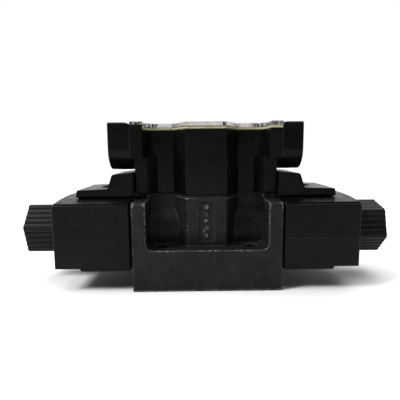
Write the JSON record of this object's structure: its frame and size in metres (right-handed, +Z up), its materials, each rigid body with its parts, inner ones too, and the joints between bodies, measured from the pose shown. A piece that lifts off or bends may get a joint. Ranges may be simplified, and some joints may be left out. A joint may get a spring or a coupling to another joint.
{
  "type": "solenoid directional valve",
  "caption": "Double-solenoid hydraulic directional control valve with a cast body, ribbed coil nuts and a clear-covered terminal box.",
  "frame": {"origin": "middle of the mounting face, at the bottom of the casting", "axes": "+X along the spool towards the right-hand solenoid, +Y away from the side with the casting mark, +Z up from the mounting face"},
  "size_m": [0.2262, 0.07, 0.0989],
  "materials": {
    "cast_iron": "dark phosphated or painted sand casting, slightly rough",
    "black_plastic": "satin moulded black, glass filled",
    "nut_plastic": "satin moulded dark grey",
    "clear_plastic": "clear moulded polycarbonate",
    "gasket_rubber": "cream moulded rubber",
    "seal_rubber": "black nitrile",
    "ground_steel": "ground",
    "plated_steel": "zinc plated",
    "spring_steel": "drawn wire",
    "copper": "enamelled copper wire",
    "bobbin_nylon": "natural nylon",
    "block_plastic": "light grey moulding",
    "brass": "bright",
    "board_green": "solder resist",
    "lamp_red": "tinted lens",
    "lamp_green": "tinted lens"
  },
  "bodies": {
    "body": {"valve_body": "cast_iron", "core_tube_left": "plated_steel", "tube_seal_left": "seal_rubber", "centring_spring_left": "spring_steel", "override_seal_left": "seal_rubber", "coil_housing_left": "black_plastic", "coil_winding_left": "copper", "coil_bobbin_left": "bobbin_nylon", "flux_frame_left": "plated_steel", "coil_seal_left": "seal_rubber", "nut_seal_left": "seal_rubber", "coil_plug_left": "black_plastic", "coil_nut_left": "nut_plastic", "core_tube_right": "plated_steel", "tube_seal_right": "seal_rubber", "centring_spring_right": "spring_steel", "override_seal_right": "seal_rubber", "coil_housing_right": "black_plastic", "coil_winding_right": "copper", "coil_bobbin_right": "bobbin_nylon", "flux_frame_right": "plated_steel", "coil_seal_right": "seal_rubber", "nut_seal_right": "seal_rubber", "coil_plug_right": "black_plastic", "coil_nut_right": "nut_plastic", "port_seal_p": "seal_rubber", "port_seal_a": "seal_rubber", "port_seal_b": "seal_rubber", "port_seal_t_left": "seal_rubber", "port_seal_t_right": "seal_rubber", "terminal_box": "black_plastic", "box_gasket": "seal_rubber", "cover_gasket": "gasket_rubber", "clear_cover": "clear_plastic", "cover_screw_front_left": "plated_steel", "cover_screw_front_right": "plated_steel", "cover_screw_back_left": "plated_steel", "cover_screw_back_right": "plated_steel", "box_screw_left": "plated_steel", "box_screw_right": "plated_steel", "terminal_block": "block_plastic", "terminal_screw_1": "brass", "terminal_screw_2": "brass", "terminal_screw_3": "brass", "terminal_screw_4": "brass", "terminal_screw_5": "brass", "terminal_screw_6": "brass", "circuit_board": "board_green", "lamp_left": "lamp_green", "lamp_right": "lamp_red"},
    "spool_stack": {"spool": "ground_steel", "push_pin_left": "ground_steel", "push_pin_right": "ground_steel", "spring_seat_left": "plated_steel", "spring_seat_right": "plated_steel"},
    "left_armature": {"armature_left": "ground_steel"},
    "right_armature": {"armature_right": "ground_steel"},
    "left_override": {"override_pin_left": "ground_steel"},
    "right_override": {"override_pin_right": "ground_steel"}
  },
  "joints": [
    {"name": "spool_shift", "type": "slide", "parent": "body", "child": "spool_stack", "axis": [1, 0, 0], "range_m": [-0.0035, 0.0035], "stiffness_N_per_m": 9000, "deforming": ["centring_spring_left", "centring_spring_right"]},
    {"name": "armature_left_follow", "type": "slide", "parent": "body", "child": "left_armature", "axis": [1, 0, 0], "range_m": [-0.0035, 0.0035]},
    {"name": "armature_right_follow", "type": "slide", "parent": "body", "child": "right_armature", "axis": [1, 0, 0], "range_m": [-0.0035, 0.0035]},
    {"name": "override_left_press", "type": "slide", "parent": "body", "child": "left_override", "axis": [1, 0, 0], "range_m": [0, 0.003]},
    {"name": "override_right_press", "type": "slide", "parent": "body", "child": "right_override", "axis": [-1, 0, 0], "range_m": [0, 0.003]}
  ],
  "couplings": [
    {"joint": "armature_left_follow", "follows": "spool_shift", "ratio": 1},
    {"joint": "armature_right_follow", "follows": "spool_shift", "ratio": 1}
  ]
}
